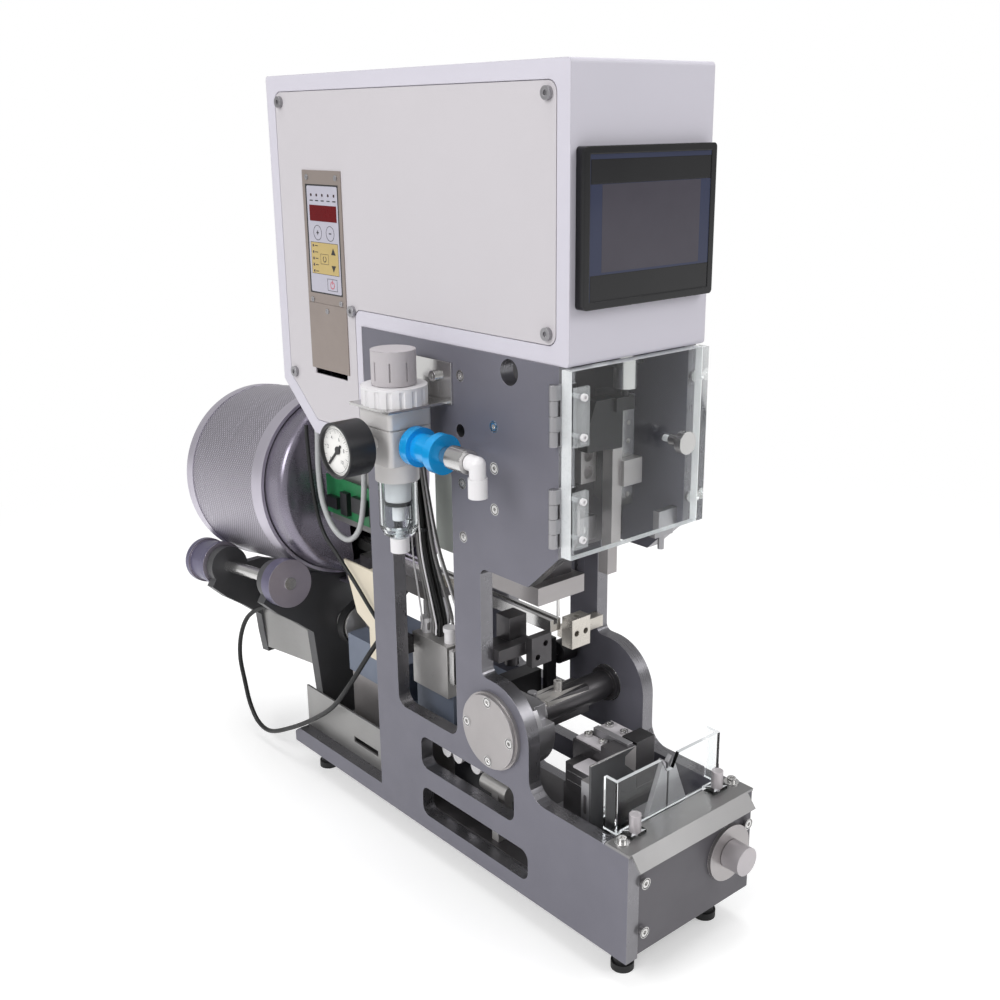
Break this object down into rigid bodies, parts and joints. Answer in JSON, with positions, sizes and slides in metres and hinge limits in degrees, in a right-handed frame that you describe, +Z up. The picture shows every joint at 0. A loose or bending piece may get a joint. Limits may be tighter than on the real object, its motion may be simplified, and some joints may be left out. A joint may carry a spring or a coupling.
{
  "type": "plug insertion machine",
  "caption": "Bench machine with two tall side plates, a white control cabinet, a rear feeding drum, a clear-doored press head and a gripper that threads plugs onto wire ends.",
  "frame": {"origin": "on the bench under the middle of the side plates' length and width", "axes": "+Z up, -Y towards the operator at the front panel and door, +Y to the rear drum, -X the side with the air regulator"},
  "size_m": [0.255, 0.6335, 0.6525],
  "materials": {
    "side_plate_left": "satin violet-grey coat",
    "side_plate_right": "satin dark grey coat",
    "base_floor": "milled",
    "feet": "matt",
    "cover_sheets": "rolled sheet, one cream plate",
    "front_panel": "dark satin coat with a turned bush",
    "deck_cover": "polished sheet",
    "clear_guards": "clear acrylic",
    "guide_blocks": "ground and nickelled",
    "cabinet_shell": "white powder coat",
    "cabinet_cover": "white powder coat",
    "cabinet_screws": "button heads",
    "controller_panel": "taupe brushed strip with a dark keypad",
    "operator_panel": "black bezel round a dark screen",
    "bearing_covers": "turned",
    "shaft_bearings": "ground rings",
    "frame_screws": "socket heads",
    "head_plates": "dark satin coat",
    "head_rails": "ground rails",
    "head_brackets": "dark and bare blocks",
    "hinge_leaves": "grey hinge",
    "gripper_base": "black anodised",
    "transfer_stops": "blackened steel",
    "feeder_base": "grey and blue-grey blocks",
    "leaf_springs": "spring steel",
    "air_cylinders": "clear anodised",
    "air_fittings": "white fittings on a black manifold",
    "driver_board": "green board on a bare tray",
    "wire_bundle": "black jackets",
    "cradle_plates": "dark satin coat",
    "drive_motor": "black",
    "drive_belt": "moulded",
    "drum_hood": "dark satin shell",
    "regulator_bracket": "zinc plated",
    "regulator_body": "light grey and white",
    "filter_bowl": "clear bowl with white inner parts",
    "pressure_gauge": "black case with a white dial",
    "valve_core": "bare",
    "clear_door": "clear acrylic",
    "door_hinges": "grey hinge leaf with clear clamp pads",
    "door_knob": "bright with a dark face",
    "press_carriage": "black bracket and bare bar",
    "needle_block": "grey anodised with a bright needle",
    "transfer_shaft": "hardened shaft with a bright hub",
    "gripper_slide": "grey anodised",
    "jaw_left": "black finger with a bright plate",
    "jaw_right": "black anodised",
    "front_knob": "turned",
    "regulator_knob": "grey",
    "gauge_needle": "black",
    "valve_sleeve": "bright blue",
    "air_elbow": "white",
    "drain_knob": "white",
    "feed_drum": "knurled between smooth bands",
    "roller_left": "violet-grey anodised on a bright shaft",
    "roller_right": "violet-grey anodised on a bright shaft",
    "motor_pulley": "turned",
    "feed_track": "polished rails on a grey bed",
    "pusher_plate": "clear anodised",
    "motor_cable": "black jacket"
  },
  "bodies": {
    "frame": {"side_plate_left": "side_plate_left", "side_plate_right": "side_plate_right", "base_floor": "base_floor", "feet": "feet", "cover_sheets": "cover_sheets", "front_panel": "front_panel", "deck_cover": "deck_cover", "clear_guards": "clear_guards", "guide_blocks": "guide_blocks", "cabinet_shell": "cabinet_shell", "cabinet_cover": "cabinet_cover", "cabinet_screws": "cabinet_screws", "controller_panel": "controller_panel", "operator_panel": "operator_panel", "bearing_covers": "bearing_covers", "shaft_bearings": "shaft_bearings", "frame_screws": "frame_screws", "head_plates": "head_plates", "head_rails": "head_rails", "head_brackets": "head_brackets", "hinge_leaves": "hinge_leaves", "gripper_base": "gripper_base", "transfer_stops": "transfer_stops", "feeder_base": "feeder_base", "leaf_springs": "leaf_springs", "air_cylinders": "air_cylinders", "air_fittings": "air_fittings", "driver_board": "driver_board", "wire_bundle": "wire_bundle", "cradle_plates": "cradle_plates", "drive_motor": "drive_motor", "drive_belt": "drive_belt", "drum_hood": "drum_hood", "regulator_bracket": "regulator_bracket", "regulator_body": "regulator_body", "filter_bowl": "filter_bowl", "pressure_gauge": "pressure_gauge", "valve_core": "valve_core", "motor_cable": "motor_cable"},
    "door": {"clear_door": "clear_door", "door_hinges": "door_hinges", "door_knob": "door_knob"},
    "press": {"press_carriage": "press_carriage"},
    "needle": {"needle_block": "needle_block"},
    "transfer": {"transfer_shaft": "transfer_shaft"},
    "gripper": {"gripper_slide": "gripper_slide"},
    "left_jaw": {"jaw_left": "jaw_left"},
    "right_jaw": {"jaw_right": "jaw_right"},
    "panel_knob": {"front_knob": "front_knob"},
    "pressure_knob": {"regulator_knob": "regulator_knob"},
    "gauge_hand": {"gauge_needle": "gauge_needle"},
    "slide_valve": {"valve_sleeve": "valve_sleeve"},
    "elbow": {"air_elbow": "air_elbow"},
    "drain": {"drain_knob": "drain_knob"},
    "drum": {"feed_drum": "feed_drum"},
    "left_roller": {"roller_left": "roller_left"},
    "right_roller": {"roller_right": "roller_right"},
    "pulley": {"motor_pulley": "motor_pulley"},
    "track": {"feed_track": "feed_track"},
    "pusher": {"pusher_plate": "pusher_plate"}
  },
  "joints": [
    {"name": "door_hinge", "type": "hinge", "parent": "frame", "child": "door", "pos_m": [-0.074, -0.153, 0.39], "axis": [0, 0, -1], "range_deg": [0, 110]},
    {"name": "press_slide", "type": "slide", "parent": "frame", "child": "press", "axis": [0, 0, -1], "range_m": [0, 0.04]},
    {"name": "needle_slide", "type": "slide", "parent": "frame", "child": "needle", "axis": [0, 0, -1], "range_m": [0, 0.012]},
    {"name": "transfer_swing", "type": "hinge", "parent": "frame", "child": "transfer", "pos_m": [0, -0.08, 0.159], "axis": [1, 0, 0], "range_deg": [0, 90]},
    {"name": "gripper_feed", "type": "slide", "parent": "frame", "child": "gripper", "axis": [0, 1, 0], "range_m": [0, 0.01]},
    {"name": "left_jaw_slide", "type": "slide", "parent": "gripper", "child": "left_jaw", "axis": [1, 0, 0], "range_m": [-0.003, 0.001]},
    {"name": "right_jaw_slide", "type": "slide", "parent": "gripper", "child": "right_jaw", "axis": [1, 0, 0], "range_m": [-0.001, 0.003]},
    {"name": "panel_knob_turn", "type": "hinge", "parent": "frame", "child": "panel_knob", "pos_m": [0.042, -0.235, 0.073], "axis": [0, -1, 0], "range_deg": [-180, 180]},
    {"name": "pressure_knob_turn", "type": "hinge", "parent": "frame", "child": "pressure_knob", "pos_m": [-0.101, -0.008, 0.44], "axis": [0, 0, 1], "range_deg": [-180, 180]},
    {"name": "gauge_hand_turn", "type": "hinge", "parent": "frame", "child": "gauge_hand", "pos_m": [-0.152, -0.008, 0.387], "axis": [1, 0, 0], "range_deg": [0, 270]},
    {"name": "valve_sleeve_slide", "type": "slide", "parent": "frame", "child": "slide_valve", "axis": [0, -1, 0], "range_m": [0, 0.008]},
    {"name": "elbow_swivel", "type": "hinge", "parent": "frame", "child": "elbow", "pos_m": [-0.101, -0.1, 0.386], "axis": [0, 1, 0], "range_deg": [-180, 180]},
    {"name": "drain_knob_turn", "type": "hinge", "parent": "frame", "child": "drain", "pos_m": [-0.101, -0.008, 0.303], "axis": [0, 0, 1], "range_deg": [-90, 90]},
    {"name": "drum_spin", "type": "hinge", "parent": "frame", "child": "drum", "pos_m": [0, 0.2994, 0.27348], "axis": [0, 0.9921, -0.1253], "continuous": true},
    {"name": "left_roller_spin", "type": "hinge", "parent": "frame", "child": "left_roller", "pos_m": [-0.076, 0.27299, 0.19211], "axis": [0, 0.9921, -0.1253], "continuous": true},
    {"name": "right_roller_spin", "type": "hinge", "parent": "frame", "child": "right_roller", "pos_m": [0.076, 0.27299, 0.19211], "axis": [0, 0.9921, -0.1253], "continuous": true},
    {"name": "pulley_spin", "type": "hinge", "parent": "frame", "child": "pulley", "pos_m": [-0.0126, 0.19653, 0.14536], "axis": [0, 0.9921, -0.1253], "continuous": true},
    {"name": "track_vibration", "type": "slide", "parent": "frame", "child": "track", "axis": [0, 1, 0], "range_m": [-0.0005, 0.0005], "stiffness_N_per_m": 20000},
    {"name": "pusher_slide", "type": "slide", "parent": "frame", "child": "pusher", "axis": [0, -1, 0], "range_m": [0, 0.012]}
  ],
  "couplings": [
    {"joint": "right_jaw_slide", "follows": "left_jaw_slide", "ratio": -1},
    {"joint": "left_roller_spin", "follows": "drum_spin", "ratio": -3.913},
    {"joint": "right_roller_spin", "follows": "drum_spin", "ratio": -3.913},
    {"joint": "pulley_spin", "follows": "drum_spin", "ratio": -2.5382}
  ]
}
